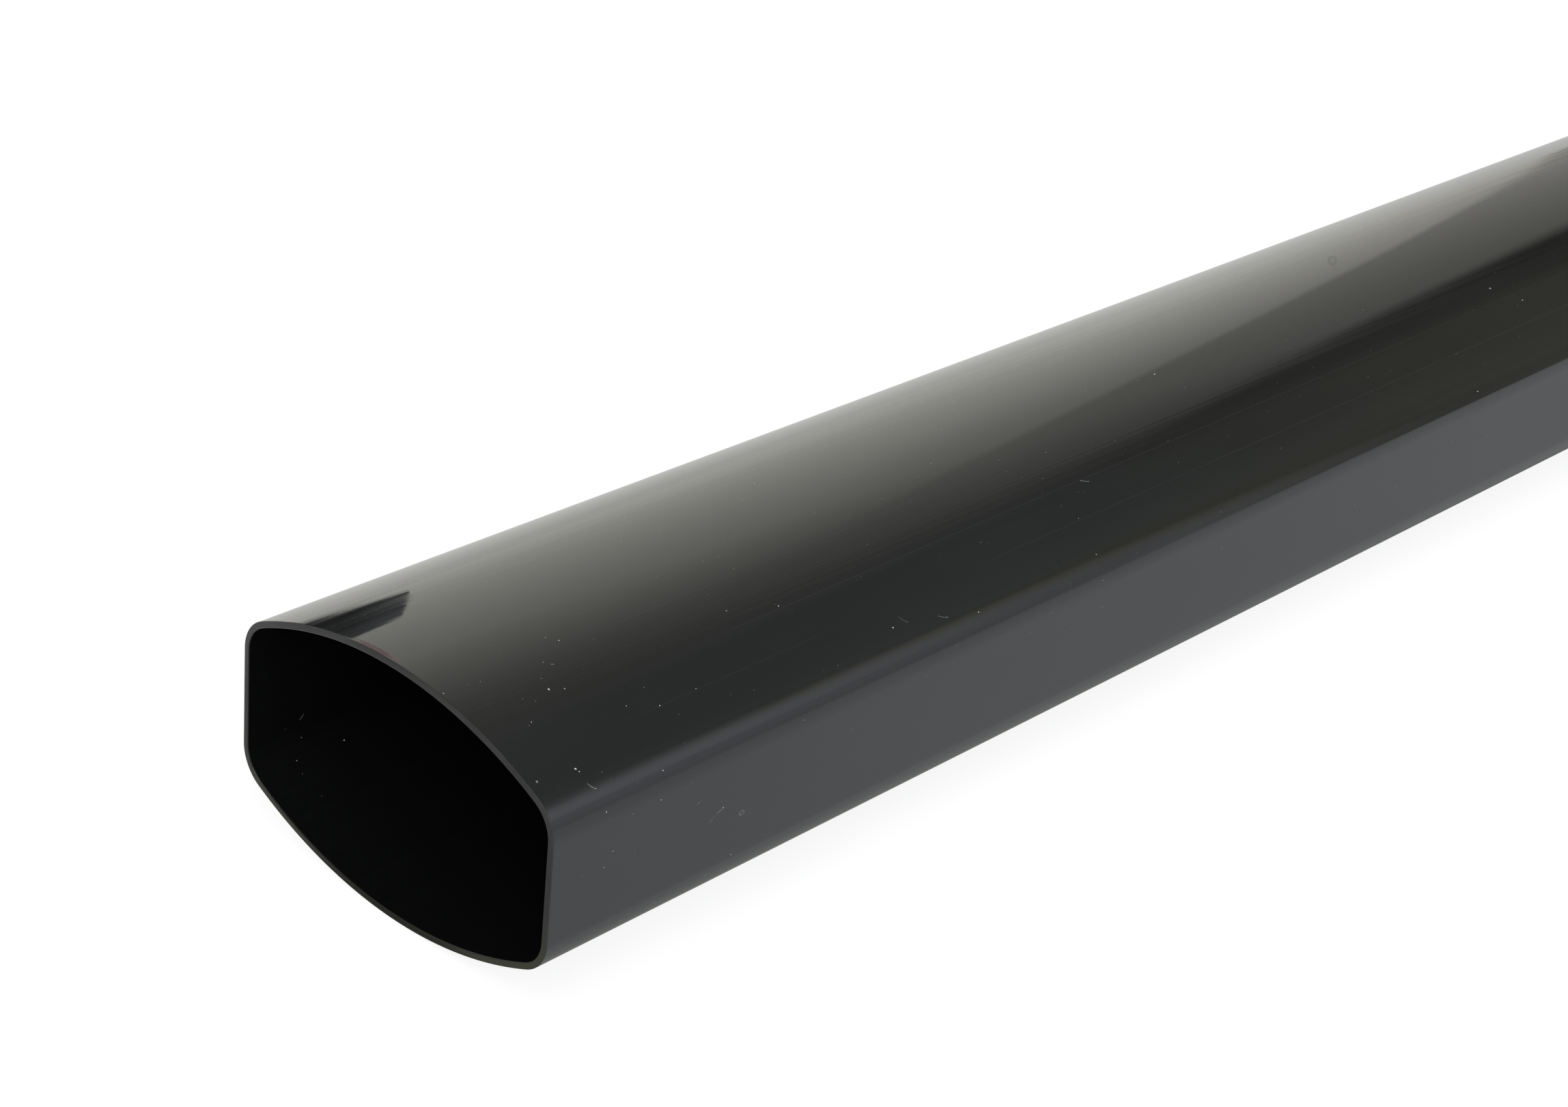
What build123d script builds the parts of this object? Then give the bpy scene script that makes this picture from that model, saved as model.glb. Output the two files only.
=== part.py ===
from build123d import *
import math
import os

# Rainwater downpipe with a barrel-shaped section: two flat narrow sides joined by
# two bowed broad faces, with rounded long corners. It is one hollow extrusion,
# sawn square at both ends. The pipe lies on one bowed face, with its length along Y
# and the flat sides facing +X and -X. The origin is on the ground, under the middle
# of the pipe. All sizes are in millimetres.

# Driving sizes
pipe_length = 2000.0  # length as sold
pipe_width = 100.0  # across the two flat sides
pipe_depth = 63.0  # from the crown of one bowed face to the crown of the other
bow_radius = 100.0  # outside radius of the bowed faces
corner_radius = 10.0  # outside radius of the four long corners
wall = 1.6  # the same all round
edge_break = 0.25  # chamfer that deburring leaves on the sawn edges

# Where the section's middle stands above the ground
axis_height = pipe_depth / 2


def barrel_outline(inset):
    """The closed section outline, moved inwards from the pipe's skin by inset.

    Every curve keeps its centre as the outline moves in, so two outlines
    bound a wall that is equally thick on the flats, bows and corners.
    """
    half_width = pipe_width / 2 - inset
    half_depth = pipe_depth / 2 - inset
    radius = bow_radius - inset
    bow_drop = radius - math.sqrt(radius**2 - half_width**2)
    shoulder = half_depth - bow_drop  # where bow and flat side would meet unrounded
    upper_bow = ThreePointArc((-half_width, shoulder), (0, half_depth), (half_width, shoulder))
    right_flat = Line(upper_bow @ 1, (half_width, -shoulder))
    lower_bow = ThreePointArc(right_flat @ 1, (0, -half_depth), (-half_width, -shoulder))
    left_flat = Line(lower_bow @ 1, upper_bow @ 0)
    face = make_face([upper_bow, right_flat, lower_bow, left_flat])
    return fillet(face.vertices(), corner_radius - inset)


def extruded_tube():
    """The bare extrusion, sawn square at both ends."""
    section_plane = Plane(origin=(0, 0, axis_height), x_dir=(1, 0, 0), z_dir=(0, -1, 0))
    section = barrel_outline(0) - barrel_outline(wall)
    return extrude(section_plane * section, amount=pipe_length / 2, both=True)


def deburr_ends(tube):
    """Takes the sharp edge off the skin and the bore at each sawn end."""
    sawn_faces = tube.faces().sort_by(Axis.Y)
    sawn_edges = sawn_faces[0].edges() + sawn_faces[-1].edges()
    return chamfer(sawn_edges, edge_break)


downpipe = deburr_ends(extruded_tube())

os.makedirs("parts", exist_ok=True)
export_step(downpipe, "parts/downpipe.step")
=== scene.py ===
import math
import random

import bmesh
import bpy
from mathutils import Matrix, Vector


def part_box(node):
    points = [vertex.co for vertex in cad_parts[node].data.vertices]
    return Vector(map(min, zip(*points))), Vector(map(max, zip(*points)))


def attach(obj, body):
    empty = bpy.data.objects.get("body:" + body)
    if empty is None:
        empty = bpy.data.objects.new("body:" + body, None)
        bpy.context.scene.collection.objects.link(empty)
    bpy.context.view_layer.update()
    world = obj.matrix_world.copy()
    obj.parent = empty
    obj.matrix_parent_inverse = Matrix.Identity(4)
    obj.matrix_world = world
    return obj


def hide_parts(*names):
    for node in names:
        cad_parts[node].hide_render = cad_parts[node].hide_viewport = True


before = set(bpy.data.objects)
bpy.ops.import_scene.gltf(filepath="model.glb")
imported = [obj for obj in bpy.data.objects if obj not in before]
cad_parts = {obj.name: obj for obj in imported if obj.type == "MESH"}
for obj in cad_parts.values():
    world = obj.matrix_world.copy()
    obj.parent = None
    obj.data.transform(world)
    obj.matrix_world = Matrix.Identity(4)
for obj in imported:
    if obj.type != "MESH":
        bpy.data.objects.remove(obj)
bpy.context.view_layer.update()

# The downpipe: one aluminium extrusion with two bowed broad faces and two flat narrow
# sides, sawn square to length, deburred at both ends and coated gloss black all over.
# It lies on a bowed face, with the sawn end that shows at -Y and its length along +Y.
pipe_low, pipe_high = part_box("downpipe")
pipe_width = pipe_high[0] - pipe_low[0]
pipe_length = pipe_high[1] - pipe_low[1]
pipe_depth = pipe_high[2] - pipe_low[2]
near_end = pipe_low[1]
far_end = pipe_high[1]
axis_height = (pipe_low[2] + pipe_high[2]) / 2
bow_radius = 0.100
corner_radius = 0.010
wall = 0.0016
edge_break = 0.00025  # radius that deburring leaves on the sawn edges

bow_steps = 40  # facets from the crown of a bow to where its corner starts
corner_steps = 20  # facets round each long corner
flat_steps = 6  # facets from a corner to the middle of a flat side
length_steps = 80
break_steps = 4  # facets round each broken edge
end_ring = 0.0003  # a narrow ring beside each broken edge, which keeps the skin's shading true
sharp_turn = math.radians(40)  # faces that meet at more than this are shaded with a sharp edge

# Where the corner's centre stands, from the middle of the section, and how far round
# from the crown the bow gives way to the corner
bow_centre = pipe_depth / 2 - bow_radius
corner_x = pipe_width / 2 - corner_radius
corner_z = bow_centre + math.sqrt((bow_radius - corner_radius) ** 2 - corner_x**2)
bow_sweep = math.atan2(corner_x, corner_z - bow_centre)


def section_quarter(inset):
    """A quarter of the section's outline, from the crown to the middle of the flat side,
    moved in from the skin by inset: a list of x and height over the section's middle."""
    points = []
    for step in range(bow_steps):
        turn = bow_sweep * step / bow_steps
        radius = bow_radius - inset
        points.append((radius * math.sin(turn), bow_centre + radius * math.cos(turn)))
    for step in range(corner_steps):
        turn = bow_sweep + (math.pi / 2 - bow_sweep) * step / corner_steps
        radius = corner_radius - inset
        points.append((corner_x + radius * math.sin(turn), corner_z + radius * math.cos(turn)))
    for step in range(flat_steps):
        points.append((pipe_width / 2 - inset, corner_z * (1 - step / flat_steps)))
    return points


def section_outline(inset):
    """The whole outline, clockwise from the upper crown, seen from the near end."""
    quarter = section_quarter(inset)
    middle = (pipe_width / 2 - inset, 0)
    right = quarter + [middle] + [(x, -z) for x, z in reversed(quarter)]
    left = [(-x, z) for x, z in reversed(right[1:-1])]
    return [(x, axis_height + z) for x, z in right + left]


def broken_edge(from_inset, to_inset, end, outwards):
    """Rings round a sawn edge, as (inset, y): from the lengthwise face at from_inset,
    round an arc of edge_break, to the sawn face at y = end."""
    rings = []
    for step in range(break_steps + 1):
        turn = math.pi / 2 * step / break_steps
        inset = from_inset + (to_inset - from_inset) * (1 - math.cos(turn))
        rings.append((inset, end - outwards * edge_break * (1 - math.sin(turn))))
    return rings


def pipe_rings():
    """Every ring of the pipe's surface in order, as (inset, y, finish): along the skin,
    over the far end, back along the bore and over the near end."""
    start = near_end + edge_break
    stop = far_end - edge_break
    straight = stop - start
    along = [start + straight * step / length_steps for step in range(length_steps + 1)]
    along = [start, start + end_ring] + along[1:-1] + [stop - end_ring, stop]
    skin = [(0, y, "skin") for y in along]
    bore = [(wall, y, "bore") for y in reversed(along)]
    far_out = broken_edge(0, edge_break, far_end, 1)
    far_in = broken_edge(wall, wall - edge_break, far_end, 1)
    near_in = broken_edge(wall, wall - edge_break, near_end, -1)
    near_out = broken_edge(0, edge_break, near_end, -1)
    far = [(inset, y, "sawn") for inset, y in far_out[1:]]
    far += [(inset, y, "bore") for inset, y in far_in[:0:-1]]
    near = [(inset, y, "bore") for inset, y in near_in[1:]]
    near += [(inset, y, "sawn") for inset, y in near_out[:0:-1]]
    return skin + far + bore + near


def build_pipe(finishes):
    """The pipe's mesh. A quad between two rings of one finish has it, and all the others
    are sawn, as the outer broken edges are."""
    rings = pipe_rings()
    outlines = {}
    vertices = []
    for inset, y, finish in rings:
        if inset not in outlines:
            outlines[inset] = section_outline(inset)
        vertices += [(x, y, z) for x, z in outlines[inset]]
    around = len(outlines[0])
    faces = []
    slots = []
    for ring, (inset, y, finish) in enumerate(rings):
        following = (ring + 1) % len(rings)
        name = finish if rings[following][2] == finish else "sawn"
        for spot in range(around):
            beside = (spot + 1) % around
            faces.append((ring * around + spot, ring * around + beside,
                          following * around + beside, following * around + spot))
            slots.append(finishes.index(name))
    mesh = bpy.data.meshes.new("pipe")
    mesh.from_pydata(vertices, [], faces)
    mesh.polygons.foreach_set("material_index", slots)
    mesh.polygons.foreach_set("use_smooth", [True] * len(faces))
    mesh.set_sharp_from_angle(angle=sharp_turn)
    mesh.update()
    return mesh


def add_piece(name, mesh, *materials):
    """Puts a mesh in the scene as a piece with its materials."""
    piece = bpy.data.objects.new(name, mesh)
    for material in materials:
        piece.data.materials.append(material)
    bpy.context.collection.objects.link(piece)
    return piece


def add_node(tree, kind, **settings):
    """A new shader node with its settings."""
    node = tree.nodes.new(kind)
    for name, value in settings.items():
        setattr(node, name, value)
    return node


def plug(tree, socket, source):
    """Sets an input to a number or colour, or links it to another node's output."""
    if isinstance(source, bpy.types.NodeSocket):
        tree.links.new(source, socket)
    else:
        socket.default_value = source


def calculate(tree, operation, *inputs):
    """One Math node."""
    node = add_node(tree, "ShaderNodeMath", operation=operation)
    for socket, source in zip(node.inputs, inputs):
        plug(tree, socket, source)
    return node.outputs[0]


def remap(tree, source, from_low, from_high, to_low, to_high, kind="SMOOTHSTEP"):
    """Turns one range of values into another, eased at both ends and held beyond them."""
    node = add_node(tree, "ShaderNodeMapRange", interpolation_type=kind, clamp=True)
    for socket, value in zip(node.inputs, (source, from_low, from_high, to_low, to_high)):
        plug(tree, socket, value)
    return node.outputs[0]


def ramp(tree, source, from_low, from_high, to_low, to_high):
    """Turns one range of values into another in a straight line, held beyond both ends."""
    return remap(tree, source, from_low, from_high, to_low, to_high, kind="LINEAR")


def place_on_piece(tree):
    """Where a point is on its object, in metres, as the outputs X, Y and Z."""
    part = add_node(tree, "ShaderNodeSeparateXYZ")
    tree.links.new(add_node(tree, "ShaderNodeTexCoord").outputs["Object"], part.inputs[0])
    return part.outputs


def noise(tree, per_metre, detail=2.0, roughness=0.5):
    """Noise in the object's own metres, with so many waves to the metre along X, Y and Z."""
    place = add_node(tree, "ShaderNodeTexCoord")
    stretch = add_node(tree, "ShaderNodeMapping")
    stretch.inputs["Scale"].default_value = per_metre
    tree.links.new(place.outputs["Object"], stretch.inputs["Vector"])
    node = add_node(tree, "ShaderNodeTexNoise")
    node.inputs["Scale"].default_value = 1.0
    node.inputs["Detail"].default_value = detail
    node.inputs["Roughness"].default_value = roughness
    tree.links.new(stretch.outputs["Vector"], node.inputs["Vector"])
    return node.outputs["Fac"]


def blank_material(name):
    """A material with no nodes yet, and its node tree."""
    material = bpy.data.materials.new(name)
    material.use_nodes = True
    material.node_tree.nodes.clear()
    return material, material.node_tree


def show(tree, shader):
    """Links a shader's output to the surface of a new material output."""
    output = add_node(tree, "ShaderNodeOutputMaterial")
    tree.links.new(shader.outputs[0], output.inputs["Surface"])


def new_material(name):
    """A material with its surface shader, and its node tree."""
    material, tree = blank_material(name)
    shader = add_node(tree, "ShaderNodeBsdfPrincipled")
    show(tree, shader)
    return material, tree, shader


def mix_colours(tree, factor, first, second):
    """Blends two colours, each a colour or an output."""
    node = add_node(tree, "ShaderNodeMix", data_type="RGBA")
    plug(tree, node.inputs["Factor"], factor)
    plug(tree, node.inputs[6], first)
    plug(tree, node.inputs[7], second)
    return node.outputs[2]


def blend_values(tree, factor, first, second):
    """Goes from the first value to the second as factor goes from 0 to 1."""
    node = add_node(tree, "ShaderNodeMix", data_type="FLOAT")
    plug(tree, node.inputs[0], factor)
    plug(tree, node.inputs[2], first)
    plug(tree, node.inputs[3], second)
    return node.outputs[0]


def bump(tree, height):
    """A bump whose height is in metres."""
    node = add_node(tree, "ShaderNodeBump")
    node.inputs["Strength"].default_value = 1.0
    node.inputs["Distance"].default_value = 1.0
    plug(tree, node.inputs["Height"], height)
    return node.outputs["Normal"]


def on_skin(from_end, round_skin, inset=0.0, upright=1):
    """A place on the skin, by its distance from the near end and its way round the skin from
    the upper crown, which is above 0 on the right and may go as far as the flat side. With
    the wall as inset it is on the bore, and with -1 for upright it starts at the lower crown."""
    big_radius = bow_radius - inset
    small_radius = corner_radius - inset
    round_bow = big_radius * bow_sweep
    round_corner = small_radius * (math.pi / 2 - bow_sweep)
    way = abs(round_skin)
    if way < round_bow:
        turn = way / big_radius
        x = big_radius * math.sin(turn)
        z = bow_centre + big_radius * math.cos(turn)
    elif way < round_bow + round_corner:
        turn = bow_sweep + (way - round_bow) / small_radius
        x = corner_x + small_radius * math.sin(turn)
        z = corner_z + small_radius * math.cos(turn)
    else:
        x = pipe_width / 2 - inset
        z = corner_z + round_bow + round_corner - way
    return Vector((math.copysign(x, round_skin), near_end + from_end, axis_height + upright * z))


def mark_distance(tree, place, reach, ragged, turn=0.0):
    """Distance from a mark's middle, 1 at its rim, where reach is how far it goes along
    X, Y and Z before it is turned about Z. Ragged is how much its rim wanders."""
    spot = add_node(tree, "ShaderNodeTexCoord")
    apart = add_node(tree, "ShaderNodeVectorMath", operation="SUBTRACT")
    apart.inputs[1].default_value = place
    tree.links.new(spot.outputs["Object"], apart.inputs[0])
    turned = add_node(tree, "ShaderNodeVectorRotate", rotation_type="Z_AXIS")
    turned.inputs["Angle"].default_value = -turn
    tree.links.new(apart.outputs[0], turned.inputs["Vector"])
    share = add_node(tree, "ShaderNodeVectorMath", operation="DIVIDE")
    share.inputs[1].default_value = reach
    tree.links.new(turned.outputs[0], share.inputs[0])
    length = add_node(tree, "ShaderNodeVectorMath", operation="LENGTH")
    tree.links.new(share.outputs[0], length.inputs[0])
    wander = noise(tree, (3000, 1500, 3000))
    return calculate(tree, "MULTIPLY_ADD", wander, ragged, length.outputs["Value"])


def ring_of_mark(tree, distance, middle, full, faded, strength):
    """How strongly a mark shows as a ring: strength near its middle line, and 0 beyond faded."""
    off = calculate(tree, "ABSOLUTE", calculate(tree, "SUBTRACT", distance, middle))
    return remap(tree, off, full, faded, strength, 0)


coat_ior = 1.5
coat_roughness = 0.03
roughness_wander = 0.01  # how far the die's lines raise and lower the coat's roughness
coat_colour = (0.0074, 0.0080, 0.0079, 1)
haze_colour = (0.0120, 0.0127, 0.0126, 1)
scuff_colour = (0.110, 0.113, 0.116, 1)
die_line_waves = (1500, 3, 1500)
die_line_height = 0.000016
drawn_line_height = 0.000030  # broader lines, drawn where the bows near the corners
dull_lines = 0.12  # how much rougher the drawn lines leave the coat
unevenness = 0.00010  # how far the bows and sides swell and sink along the pipe
score_places = (0.0073, 0.0145, 0.0279, 0.0376)  # from the crown to each long score
score_width = 0.00014
score_strength = 0.21

# The marks in the coat. A place is from the near end and round the skin from the crown,
# and a reach is along X, Y and Z.
smear_place = (0.0009, -0.0072)
smear_reach = (0.0105, 0.0013, 0.002)
smear_colour = (0.062, 0.013, 0.025, 1)
smear_roughness = 0.5
drip_place = (0.3621, -0.0147)
drip_reach = (0.0011, 0.0041, 0.003)
drip_turn = 0.59
drip_roughness = 0.39
droplet_place = (0.0558, 0.0715)
droplet_reach = (0.002, 0.0007, 0.0005)
scuff_places = ((0.0217, 0.0158), (0.0313, 0.0164), (0.0464, 0.0171))  # from the near end, height
scuff_reach = (0.001, 0.0006, 0.0003)
scuff_sink = 0.0005  # how far a scuff's middle lies inside the flat side
scuff_roughness = 0.6


def long_scores(tree, across):
    """Fine scores that the die leaves all along the bows, which come and go: 0 to 1."""
    coming = remap(tree, noise(tree, (60, 7, 60), detail=3), 0.42, 0.62, 0, 1)
    scores = 0.0
    for place in score_places:
        off = calculate(tree, "ABSOLUTE", calculate(tree, "SUBTRACT", across, place))
        line = remap(tree, off, score_width / 4, score_width / 2, 1, 0)
        scores = calculate(tree, "MAXIMUM", line, scores)
    return calculate(tree, "MULTIPLY", scores, coming)


def add_marks(tree, colour, gloss):
    """The marks in the coat: a faint smear of ink by the sawn edge, a dull drip mark far up
    the crown, and on the flat side a dried droplet and three scuffs along the lower corner.
    Takes the coat's colour and roughness and gives them back with the marks."""
    smear = mark_distance(tree, on_skin(*smear_place), smear_reach, 0.8)
    streaks = remap(tree, noise(tree, (120, 2600, 120), detail=1), 0.40, 0.56, 0.35, 1)
    smeared = calculate(tree, "MULTIPLY", remap(tree, smear, 0.7, 1.3, 0.85, 0), streaks)
    colour = mix_colours(tree, smeared, colour, smear_colour)
    gloss = blend_values(tree, smeared, gloss, smear_roughness)
    drip = mark_distance(tree, on_skin(*drip_place), drip_reach, 0.63, turn=drip_turn)
    gloss = blend_values(tree, ring_of_mark(tree, drip, 1.2, 0.10, 0.75, 0.64), gloss, drip_roughness)
    droplet = mark_distance(tree, on_skin(*droplet_place), droplet_reach, 0.2)
    dried = ring_of_mark(tree, droplet, 1.1, 0.1, 0.45, 0.7)
    colour = mix_colours(tree, dried, colour, scuff_colour)
    for from_end, height in scuff_places:
        middle = (pipe_width / 2 - scuff_sink, near_end + from_end, height)
        scuff = remap(tree, mark_distance(tree, middle, scuff_reach, 0.6), 0.9, 1.5, 1, 0)
        colour = mix_colours(tree, scuff, colour, scuff_colour)
        gloss = blend_values(tree, scuff, gloss, scuff_roughness)
    return colour, gloss


def coat_material():
    """Gloss black coat. The die's fine lines show through it along the pipe's length, most
    of all on the flanks of the bows, and a thin haze lies over it."""
    material, tree, shader = new_material("gloss black coat")
    across = place_on_piece(tree)["X"]
    beside = calculate(tree, "ABSOLUTE", across)
    die_lines = noise(tree, die_line_waves, detail=3, roughness=0.6)
    drawn_lines = noise(tree, (320, 2, 320), detail=3, roughness=0.6)
    flank = calculate(tree, "MULTIPLY", remap(tree, beside, 0.010, 0.022, 0.1, 1.0),
                      remap(tree, beside, 0.030, 0.038, 1.0, 0.2))
    swells = noise(tree, (16, 11, 16), detail=1)
    grain = noise(tree, (3800, 3800, 3800), detail=1)
    haze = noise(tree, (28, 9, 28), detail=5, roughness=0.6)
    shade = calculate(tree, "MULTIPLY_ADD", grain, 0.7, remap(tree, haze, 0.35, 0.7, 0, 0.5))
    colour = mix_colours(tree, shade, coat_colour, haze_colour)
    scored = calculate(tree, "MULTIPLY", long_scores(tree, across), score_strength)
    colour = mix_colours(tree, scored, colour, scuff_colour)
    gloss = ramp(tree, die_lines, 0.3, 0.7, coat_roughness - roughness_wander,
                 coat_roughness + roughness_wander)
    dull = remap(tree, beside, 0.030, 0.038, dull_lines, 0)
    dull = calculate(tree, "MULTIPLY", dull, remap(tree, drawn_lines, 0.46, 0.62, 0, 1))
    gloss = calculate(tree, "MULTIPLY_ADD", dull, flank, gloss)
    colour, gloss = add_marks(tree, colour, gloss)
    shader.inputs["IOR"].default_value = coat_ior
    shader.inputs["Anisotropic"].default_value = 0.5
    plug(tree, shader.inputs["Base Color"], colour)
    plug(tree, shader.inputs["Roughness"], gloss)
    relief = calculate(tree, "MULTIPLY", die_lines, die_line_height)
    relief = calculate(tree, "MULTIPLY_ADD", drawn_lines, drawn_line_height, relief)
    relief = calculate(tree, "MULTIPLY", relief, flank)
    relief = calculate(tree, "MULTIPLY_ADD", swells, unevenness, relief)
    plug(tree, shader.inputs["Normal"], bump(tree, relief))
    around = add_node(tree, "ShaderNodeTangent", direction_type="RADIAL", axis="Y")
    tree.links.new(around.outputs[0], shader.inputs["Tangent"])
    return material


blade_mark_depth = 0.00002
sawn_specular = 0.12
sawn_dark = (0.020, 0.0202, 0.0198, 1)
sawn_pale = (0.048, 0.0483, 0.047, 1)
blotch_colour = (0.060, 0.0603, 0.0585, 1)
# painted highlight: the sawn end is drawn paler by its upper left corner, where it takes more light
painted_corner_highlight = (0.078, 0.075, 0.077, 1)
# painted light: an olive tint towards the bottom of the sawn end, for light bounced from the paper
painted_paper_bounce = (0.049, 0.0505, 0.034, 1)
# painted shade: darker right by the floor
painted_floor_shade = (0.010, 0.0108, 0.0058, 1)


def sawn_material():
    """The sawn ends: matt, with the marks of the blade under the coat. A painted highlight makes them
    lighter by the upper left corner, painted olive light bounced from the paper tints them towards the
    edge that lies on the floor, and painted shade darkens them right by the floor."""
    material, tree, shader = new_material("sawn end")
    place = place_on_piece(tree)
    height = place["Z"]
    blade_marks = noise(tree, (900, 900, 9000), detail=3)
    mottle = noise(tree, (1500, 1500, 1500), detail=3)
    blotches = remap(tree, noise(tree, (70, 70, 70), detail=2), 0.35, 0.65, 0, 0.4)
    shade = calculate(tree, "MULTIPLY_ADD", blade_marks, 0.5, calculate(tree, "MULTIPLY", mottle, 0.5))
    colour = mix_colours(tree, shade, sawn_dark, sawn_pale)
    colour = mix_colours(tree, blotches, colour, blotch_colour)
    # painted highlight: paler by the upper left corner of the sawn end
    lit_upper_left = calculate(tree, "MULTIPLY", remap(tree, place["X"], -0.046, -0.026, 1, 0),
                           remap(tree, height, 0.030, 0.045, 0, 0.6))
    colour = mix_colours(tree, lit_upper_left, colour, painted_corner_highlight)
    # painted olive light bounced from the paper towards the bottom, then painted shade right by the
    # floor
    colour = mix_colours(tree, remap(tree, height, 0.010, 0.032, 0.85, 0), colour, painted_paper_bounce)
    colour = mix_colours(tree, remap(tree, height, 0.001, 0.006, 0.8, 0), colour, painted_floor_shade)
    shader.inputs["IOR"].default_value = coat_ior
    shader.inputs["Specular IOR Level"].default_value = sawn_specular
    plug(tree, shader.inputs["Base Color"], colour)
    plug(tree, shader.inputs["Roughness"], ramp(tree, mottle, 0.3, 0.7, 0.42, 0.58))
    relief = calculate(tree, "MULTIPLY", shade, blade_mark_depth)
    plug(tree, shader.inputs["Normal"], bump(tree, relief))
    return material


bore_dark = (0.0030, 0.0032, 0.0032, 1)
bore_pale = (0.0058, 0.0060, 0.0060, 1)


def bore_material():
    """Inside the pipe: the same coat, thinner and clean, over the die's lines."""
    material, tree, shader = new_material("coat inside the bore")
    die_lines = noise(tree, die_line_waves, detail=3, roughness=0.6)
    shader.inputs["IOR"].default_value = coat_ior
    plug(tree, shader.inputs["Base Color"], mix_colours(tree, die_lines, bore_dark, bore_pale))
    plug(tree, shader.inputs["Roughness"], ramp(tree, die_lines, 0.3, 0.7, 0.18, 0.26))
    relief = calculate(tree, "MULTIPLY", die_lines, die_line_height)
    plug(tree, shader.inputs["Normal"], bump(tree, relief))
    return material


finishes = ["skin", "sawn", "bore"]
pipe = add_piece("pipe", build_pipe(finishes), coat_material(), sawn_material(), bore_material())
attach(pipe, "root")
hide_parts("downpipe")

# The dust: pale grains and a few fibres of lint that have settled on the gloss coat in
# storage, and a few more in the bore. The larger ones are set one by one, the rest strewn.
large_grains = (  # from the near end, round the skin from the crown, grain size
    (0.0025, 0.0429, 0.00054), (0.0123, 0.0438, 0.00050), (0.0127, 0.0447, 0.00032),
    (0.0215, 0.0241, 0.00060), (0.0223, 0.0207, 0.00038), (0.0247, 0.0255, 0.00034),
    (0.0011, 0.0143, 0.00034), (0.0262, 0.0168, 0.00024), (0.0117, 0.0299, 0.00032),
    (0.0337, 0.0354, 0.00026), (0.0407, 0.0385, 0.00028), (0.0516, 0.0383, 0.00026),
    (0.0344, 0.0127, 0.00028), (0.0748, 0.0232, 0.00032), (0.0138, 0.0494, 0.00028),
    (0.0316, 0.0518, 0.00034), (0.0147, 0.0548, 0.00038), (0.0303, 0.0580, 0.00030),
    (0.0149, 0.0683, 0.00038), (0.0173, 0.0653, 0.00038), (0.0497, 0.0677, 0.00024),
    (0.0536, 0.0813, 0.00026), (0.0871, 0.0275, 0.00034), (0.1087, 0.0442, 0.00042),
    (0.1339, 0.0492, 0.00036), (0.1779, 0.0484, 0.00044), (0.2518, 0.0050, 0.00042),
    (0.3450, 0.0512, 0.00040), (0.3878, 0.0231, 0.00075), (0.3935, 0.0313, 0.00044))
strewn_grains = 2200
strewn_sizes = (0.00005, 0.00018)
clear_of_ends = 0.003  # no grain is strewn nearer to an end
strewn_reach = 0.070  # how far from the crown, round the skin, grains are strewn
bore_grains = (  # from the near end, round the bore from its lower crown to the left, grain size
    (0.0111, 0.0467, 0.00026), (0.0248, 0.0469, 0.00040), (0.0103, 0.0432, 0.00013),
    (0.0106, 0.0361, 0.00014), (0.0104, 0.0547, 0.00020), (0.0145, 0.0512, 0.00020))
lint = (  # from the near end, round the skin, length, turn from the pipe's length
    (0.0132, 0.0486, 0.0022, 0.95), (0.0276, 0.0182, 0.0007, 0.5), (0.0479, 0.0690, 0.0048, 2.66),
    (0.0422, 0.0635, 0.0015, 2.86), (0.1130, 0.0434, 0.0024, 1.1), (0.1235, 0.0467, 0.0026, 0.5),
    (0.1940, 0.0290, 0.0024, 0.6), (0.6550, -0.0210, 0.0020, 0.3), (1.2430, 0.0310, 0.0024, 2.7))
bore_lint = (0.0150, 0.0562, 0.0016, 0.8)  # as the lint, but round the bore, as its grains
lint_radius = 0.000025
lint_bend = 0.08  # how far a hair bows out, as a share of its length
lint_steps = 8
grain_squash = 0.6
dust_draws = 11  # the seed of everything about the dust that is left to chance


def lump():
    """The corners and faces of a round lump of 20 facets, 1 across its radius."""
    ball = bmesh.new()
    bmesh.ops.create_icosphere(ball, subdivisions=1, radius=1.0)
    corners = [vertex.co.copy() for vertex in ball.verts]
    facets = [[vertex.index for vertex in face.verts] for face in ball.faces]
    ball.free()
    return corners, facets


lump_corners, lump_facets = lump()


def add_grain(vertices, faces, place, size, draws):
    """A small uneven lump that rests on the skin."""
    turned = Matrix.Rotation(draws.uniform(0, math.pi), 3, draws.choice("XYZ"))
    shape = Matrix.Diagonal((size / 2, size / 2 * draws.uniform(0.7, 1.4), size / 2 * grain_squash))
    start = len(vertices)
    for corner in lump_corners:
        vertices.append(place + turned @ shape @ corner * draws.uniform(0.8, 1.2))
    faces += [[start + corner for corner in facet] for facet in lump_facets]


def add_fibre(vertices, faces, from_end, round_skin, length, turn, inset=0.0, upright=1):
    """A bent hair of lint, three-sided, that lies on the skin or in the bore."""
    start = len(vertices)
    for step in range(lint_steps + 1):
        far = length * (step / lint_steps - 0.5)
        bend = lint_bend * length * math.cos(math.pi * (step / lint_steps - 0.5))
        run = from_end + far * math.cos(turn) - bend * math.sin(turn)
        side = round_skin + far * math.sin(turn) + bend * math.cos(turn)
        middle = on_skin(run, side, inset, upright)
        around = (on_skin(run, side + lint_radius, inset, upright) - middle).normalized()
        outwards = Vector((0, -1, 0)).cross(around)
        for corner in range(3):
            angle = 2 * math.pi * corner / 3
            offset = around * math.cos(angle) + outwards * math.sin(angle)
            vertices.append(middle + offset * lint_radius)
    for step in range(lint_steps):
        ring = start + 3 * step
        for corner in range(3):
            beside = (corner + 1) % 3
            faces.append([ring + corner, ring + beside, ring + 3 + beside, ring + 3 + corner])
    last = start + 3 * lint_steps
    faces.append([start, start + 1, start + 2])
    faces.append([last + 2, last + 1, last])


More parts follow.
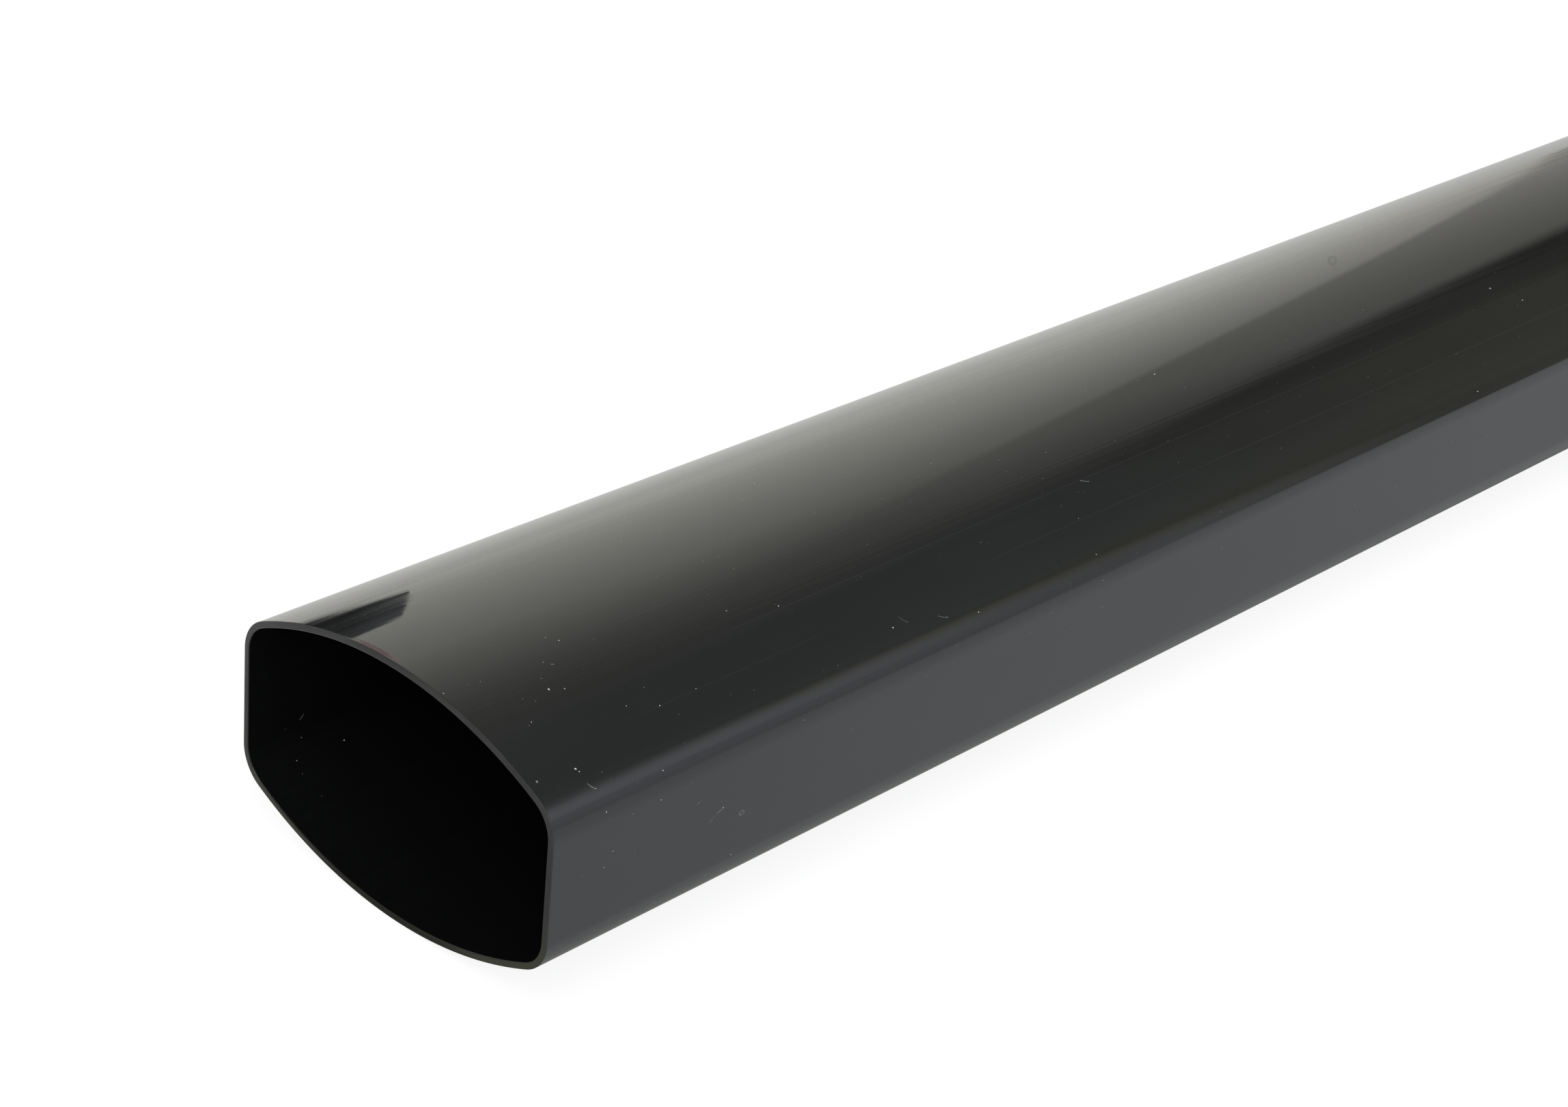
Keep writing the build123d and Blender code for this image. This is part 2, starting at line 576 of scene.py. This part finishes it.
def build_dust():
    """One mesh of all the grains and fibres. Outside, grains settle on the upper half alone."""
    draws = random.Random(dust_draws)
    vertices = []
    faces = []
    for from_end, round_skin, size in large_grains:
        add_grain(vertices, faces, on_skin(from_end, round_skin), size, draws)
    for grain in range(strewn_grains):
        place = on_skin(draws.uniform(clear_of_ends, pipe_length - clear_of_ends),
                        draws.uniform(-strewn_reach, strewn_reach))
        add_grain(vertices, faces, place, draws.uniform(*strewn_sizes), draws)
    for from_end, round_bore, size in bore_grains:
        add_grain(vertices, faces, on_skin(from_end, -round_bore, wall, -1), size, draws)
    for from_end, round_skin, length, turn in lint:
        add_fibre(vertices, faces, from_end, round_skin, length, turn)
    from_end, round_bore, length, turn = bore_lint
    add_fibre(vertices, faces, from_end, -round_bore, length, -turn, wall, -1)
    mesh = bpy.data.meshes.new("dust")
    mesh.from_pydata(vertices, [], faces)
    checked = bmesh.new()
    checked.from_mesh(mesh)
    bmesh.ops.recalc_face_normals(checked, faces=checked.faces)
    checked.to_mesh(mesh)
    checked.free()
    return mesh


dark_dust = (0.30, 0.29, 0.27, 1)
light_dust = (0.86, 0.85, 0.82, 1)


def dust_material():
    """Pale mineral dust and lint, each grain a little lighter or darker."""
    material, tree, shader = new_material("pale dust")
    tone = noise(tree, (700, 700, 700), detail=1)
    colour = mix_colours(tree, remap(tree, tone, 0.35, 0.65, 0, 1), dark_dust, light_dust)
    plug(tree, shader.inputs["Base Color"], colour)
    plug(tree, shader.inputs["Roughness"], remap(tree, tone, 0.3, 0.7, 0.7, 0.95))
    return material


dust = add_piece("dust", build_dust(), dust_material())
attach(dust, "root")

# The floor: a wide sheet of matt white paper that the pipe lies on. It has no edge in
# sight, takes the pipe's soft shadow, and the gloss coat mirrors it as white.
floor_reach = 40.0
paper_colour = (0.80, 0.80, 0.80, 1)
paper_seen = (0.18, 0.18, 0.18, 1)  # the share of the paper's white that a shadow darkens in sight
paper_glow = 0.88
mirrored_glow = (0.35, 0.10)  # where the lamp lights the paper best, and far along the pipe
contact_shade = 0.53  # what is left of the paper's light under the pipe's lower corners
left_tint = (1.045, 1.0, 0.85, 1)
right_tint = (0.94, 1.0, 1.12, 1)
contact_tint = (0.95, 1.0, 0.82, 1)  # under the pipe's lower corners
white_light = (1, 1, 1, 1)
no_light = (0, 0, 0, 1)


def mirrored_paper(tree):
    """The paper as the coat mirrors it. Its glow fades along the pipe and far to the right,
    and is warmer on the left, and the pipe shades it close by. Gives the glow's strength
    and colour, and how much of the light the shade leaves."""
    place = place_on_piece(tree)
    across = place["X"]
    beside = calculate(tree, "ABSOLUTE", across)
    from_end = calculate(tree, "SUBTRACT", place["Y"], near_end)
    spread = calculate(tree, "DIVIDE", from_end, calculate(tree, "ADD", beside, 0.20))
    fade = ramp(tree, spread, 0.45, 2.15, *mirrored_glow)
    strength = calculate(tree, "SUBTRACT", fade, remap(tree, across, -0.02, 0.02, 0, 0.06))
    strength = calculate(tree, "SUBTRACT", strength, remap(tree, across, 0.3, 1.0, 0, 0.13))
    colour = mix_colours(tree, remap(tree, across, -0.27, -0.12, 0, 1), left_tint, right_tint)
    colour = mix_colours(tree, remap(tree, beside, 0.049, 0.060, 1, 0), colour, contact_tint)
    left_over = ramp(tree, beside, 0.045, 0.062, contact_shade, 1.0)
    return strength, colour, left_over


def paper_material():
    """White paper, with a glow that only the eye and the gloss coat see, so that all the
    light that it throws on the pipe comes from its own colour."""
    material, tree = blank_material("white paper")
    material.cycles.emission_sampling = "NONE"
    ray = add_node(tree, "ShaderNodeLightPath")
    in_sight = ray.outputs["Is Camera Ray"]
    mirrored = calculate(tree, "MAXIMUM", ray.outputs["Is Glossy Ray"],
                         ray.outputs["Is Transmission Ray"])
    fade, tint, left_over = mirrored_paper(tree)
    lit = blend_values(tree, mirrored, 1.0, left_over)
    shaded = mix_colours(tree, lit, no_light, paper_colour)
    paper = add_node(tree, "ShaderNodeBsdfDiffuse")
    plug(tree, paper.inputs["Color"], mix_colours(tree, in_sight, shaded, paper_seen))
    glow = add_node(tree, "ShaderNodeEmission")
    plug(tree, glow.inputs["Color"], mix_colours(tree, in_sight, tint, white_light))
    strength = calculate(tree, "MULTIPLY", mirrored, calculate(tree, "MULTIPLY", fade, left_over))
    strength = blend_values(tree, in_sight, strength, paper_glow)
    plug(tree, glow.inputs["Strength"], strength)
    both = add_node(tree, "ShaderNodeAddShader")
    tree.links.new(paper.outputs[0], both.inputs[0])
    tree.links.new(glow.outputs[0], both.inputs[1])
    show(tree, both)
    return material


def flat_sheet(name, corners):
    """A mesh of one flat face between four corners."""
    mesh = bpy.data.meshes.new(name)
    mesh.from_pydata(corners, [], [(0, 1, 2, 3)])
    return mesh


floor_corners = [(-floor_reach, -floor_reach, 0), (floor_reach, -floor_reach, 0),
                 (floor_reach, floor_reach, 0), (-floor_reach, floor_reach, 0)]
floor = add_piece("floor", flat_sheet("floor", floor_corners), paper_material())

# The studio: a white sweep behind the pipe, cards beside it, the unlit ceiling over them
# and the dark room behind the camera. The gloss coat mirrors them as its light and dark
# bands. One broad soft lamp hangs over the camera's right shoulder.
room_white = 0.30
olive_tint = (1.03, 1.0, 0.80, 1)
upper_tint = (0.90, 1.0, 0.95, 1)
left_wall_tint = (1.015, 1.0, 0.925, 1)
far_left_tint = (1.00, 1.0, 0.91, 1)
right_wall_tint = (0.965, 1.0, 1.09, 1)
lamp_strength = 1.7
lamp_spread = math.radians(50)
lamp_tilt = (math.radians(42), 0, math.radians(35))


def sky_angles(tree):
    """Each direction's azimuth from +Y to the left and its elevation, in degrees, and how
    far it points along +Y."""
    place = add_node(tree, "ShaderNodeTexCoord")
    part = add_node(tree, "ShaderNodeSeparateXYZ")
    tree.links.new(place.outputs["Generated"], part.inputs[0])
    x, y, z = part.outputs
    leftward = calculate(tree, "MULTIPLY", x, -1.0)
    azimuth = calculate(tree, "DEGREES", calculate(tree, "ARCTAN2", leftward, y))
    elevation = calculate(tree, "DEGREES", calculate(tree, "ARCSINE", z))
    return azimuth, elevation, y


def upright_edge(tree, azimuth, place, softness):
    """0 right of an upright edge at an azimuth, 1 left of it."""
    low = calculate(tree, "MULTIPLY_ADD", softness, -1.0, place)
    high = calculate(tree, "ADD", softness, place)
    return remap(tree, azimuth, low, high, 0, 1)


def right_wall_light(tree, azimuth, elevation):
    """The white wall on the right. Its left edge leans as it rises, in two steps, and its
    foot and top are less lit."""
    above = calculate(tree, "MAXIMUM", calculate(tree, "SUBTRACT", elevation, 3), 0)
    rise = calculate(tree, "MINIMUM", above, 32)
    leaning = calculate(tree, "MULTIPLY_ADD", rise, -0.35, azimuth)
    half_leaning = calculate(tree, "MULTIPLY_ADD", rise, -0.23, azimuth)
    unlit = ramp(tree, elevation, 18, 26, 0.28, 0.33)
    wall_light = calculate(tree, "MAXIMUM", ramp(tree, leaning, -55.7, -38, 1.34, 0.28),
                           ramp(tree, half_leaning, -41.4, -35.9, 0.66, unlit))
    lit = ramp(tree, elevation, 1, 12, 0.78, 0.94)
    lit = calculate(tree, "ADD", lit, ramp(tree, elevation, 14, 22, 0, 0.42))
    lit = calculate(tree, "ADD", lit, ramp(tree, elevation, 34, 44, 0, -0.56))
    lit = calculate(tree, "ADD", lit, ramp(tree, azimuth, -52, -45, 0.06, -0.14))
    return calculate(tree, "MINIMUM", lit, wall_light)


def grey_card_light(tree, azimuth, elevation):
    """The grey card between the dark gap and the left wall, with more contrast higher up."""
    upper = ramp(tree, elevation, 27, 33, 0, 1)
    right_end = calculate(tree, "MULTIPLY_ADD", upper, -0.06, 0.43)
    left_end = calculate(tree, "MULTIPLY_ADD", upper, 0.10, 0.57)
    return ramp(tree, azimuth, 20.7, 32.5, right_end, left_end)


def left_wall_light(tree, azimuth, elevation):
    """The white wall on the left, brighter away from its right end and less lit higher up."""
    right_end = ramp(tree, elevation, 13, 24, 0.87, 0.78)
    middle = ramp(tree, elevation, 18, 30, 1.11, 1.05)
    wall_light = ramp(tree, azimuth, 32, 41, right_end, middle)
    return calculate(tree, "ADD", wall_light, ramp(tree, azimuth, 41, 49, 0, 0.08))


def studio_light(tree, azimuth, elevation, forward):
    """How white the studio is in each direction, from the right wall to the left one, and
    then the room behind the camera and the ceiling."""
    sweep = remap(tree, azimuth, -8, 8, 0.27, 0.18)
    dark_gap = remap(tree, azimuth, 12, 18, 0.125, 0.065)
    white = blend_values(tree, upright_edge(tree, azimuth, -20, 8.0),
                         right_wall_light(tree, azimuth, elevation), sweep)
    lit_top = calculate(tree, "MULTIPLY", remap(tree, azimuth, -26, -18, 0, 1),
                        remap(tree, azimuth, -4, 6, 1, 0))
    white = calculate(tree, "MULTIPLY_ADD", lit_top, remap(tree, elevation, 32, 40, 0, 0.07), white)
    white = blend_values(tree, upright_edge(tree, azimuth, 12, 2.0), white, dark_gap)
    card_start = ramp(tree, elevation, 30, 37, 21.3, 19.5)
    card_softness = calculate(tree, "ADD", ramp(tree, elevation, 35, 46, 0, 7.0), 1.6)
    white = blend_values(tree, upright_edge(tree, azimuth, card_start, card_softness), white,
                         grey_card_light(tree, azimuth, elevation))
    wall_softness = calculate(tree, "ADD", ramp(tree, elevation, 10, 34, 0.35, 0.85),
                              ramp(tree, elevation, 34, 44, 0, 6.0))
    white = blend_values(tree, upright_edge(tree, azimuth, 32.5, wall_softness), white,
                         left_wall_light(tree, azimuth, elevation))
    white = blend_values(tree, remap(tree, forward, -0.55, -0.25, 1, 0), white, room_white)
    ceiling = remap(tree, azimuth, -25, 0, 0.38, 0.31)
    return blend_values(tree, ramp(tree, elevation, 30, 53, 0, 1), white, ceiling)


def studio_tint(tree, azimuth, elevation):
    """The tint of the studio's white: warm on the left, olive in the middle and greener
    higher up, cool on the right."""
    colour = mix_colours(tree, remap(tree, elevation, 34, 44, 0, 1), olive_tint, upper_tint)
    left_colour = mix_colours(tree, remap(tree, azimuth, 30, 46, 0, 1), left_wall_tint, far_left_tint)
    colour = mix_colours(tree, remap(tree, azimuth, 12, 24, 0, 1), colour, left_colour)
    return mix_colours(tree, remap(tree, azimuth, -46, -30, 1, 0), colour, right_wall_tint)


world = bpy.data.worlds.new("studio")
bpy.context.scene.world = world
world.use_nodes = True
sky = world.node_tree
sky.nodes.clear()
azimuth, elevation, forward = sky_angles(sky)
in_sight = add_node(sky, "ShaderNodeLightPath").outputs["Is Camera Ray"]
background = add_node(sky, "ShaderNodeBackground")
sky_colour = mix_colours(sky, in_sight, studio_tint(sky, azimuth, elevation), white_light)
sky_white = blend_values(sky, in_sight, studio_light(sky, azimuth, elevation, forward), 1.0)
plug(sky, background.inputs["Color"], sky_colour)
plug(sky, background.inputs["Strength"], sky_white)
sky_output = add_node(sky, "ShaderNodeOutputWorld")
sky.links.new(background.outputs[0], sky_output.inputs["Surface"])

lamp_data = bpy.data.lights.new("soft lamp", "SUN")
lamp_data.energy = lamp_strength
lamp_data.angle = lamp_spread
lamp = bpy.data.objects.new("soft lamp", lamp_data)
lamp.rotation_euler = lamp_tilt
bpy.context.collection.objects.link(lamp)

# A small dark card beside the sawn end, to the left. It is no lamp and takes no light, but glows dimly
# # of itself. Only the gloss coat mirrors it, as the dark patch on the bow by the edge.
card_out = 0.080  # from the pipe's middle to the card's plane
card_outline = (  # from the near end, height
    (0.018, 0.0556), (0.0643, 0.0648), (0.0624, 0.0840), (0.0315, 0.0902))
# the colour of the card's own glow
card_glow_tint = (0.94, 1.0, 1.06, 1)


def card_material():
    """A dim glow in place of paint, a little stronger towards the card's far edge and its top, where
    the coat mirrors it greyer.
    """
    material, tree = blank_material("dark card")
    material.cycles.emission_sampling = "NONE"
    place = place_on_piece(tree)
    # the card's glow, stronger towards its far edge and its top
    far_side = remap(tree, place["Y"], near_end + 0.044, near_end + 0.062, 0.030, 0.12)
    top = remap(tree, place["Z"], 0.072, 0.089, 0, 0.14)
    glow = add_node(tree, "ShaderNodeEmission")
    glow.inputs["Color"].default_value = card_glow_tint
    plug(tree, glow.inputs["Strength"], calculate(tree, "ADD", far_side, top))
    show(tree, glow)
    return material


card_corners = [(-card_out, near_end + from_end, height) for from_end, height in card_outline]
card = add_piece("dark card", flat_sheet("dark card", card_corners), card_material())
card.visible_camera = False
card.visible_diffuse = False
card.visible_shadow = False

# The camera: a long lens over the right side of the near end, looking down along the
# pipe, so that the far half runs out of the frame. It is rolled a little to the left.
camera_place = Vector((0.41464, -1.35914, 0.38447))
camera_forward = Vector((-0.57976, 0.66775, -0.46689)).normalized()
camera_lean = Vector((-0.38230, 0.28308, 0.87961))  # upwards in the picture
lens = 70.1  # in millimetres, as the sensor
sensor_width = 36.0
nearest_sight = 0.05
farthest_sight = 200.0
camera_data = bpy.data.cameras.new("camera")
camera_data.lens = lens
camera_data.sensor_width = sensor_width
camera_data.clip_start = nearest_sight
camera_data.clip_end = farthest_sight
camera = bpy.data.objects.new("camera", camera_data)
camera_right = camera_forward.cross(camera_lean).normalized()
camera_up = camera_right.cross(camera_forward)
camera_turn = Matrix((camera_right, camera_up, -camera_forward)).transposed().to_4x4()
camera.matrix_world = Matrix.Translation(camera_place) @ camera_turn
bpy.context.collection.objects.link(camera)
bpy.context.scene.camera = camera

bpy.context.scene.view_settings.view_transform = "Standard"
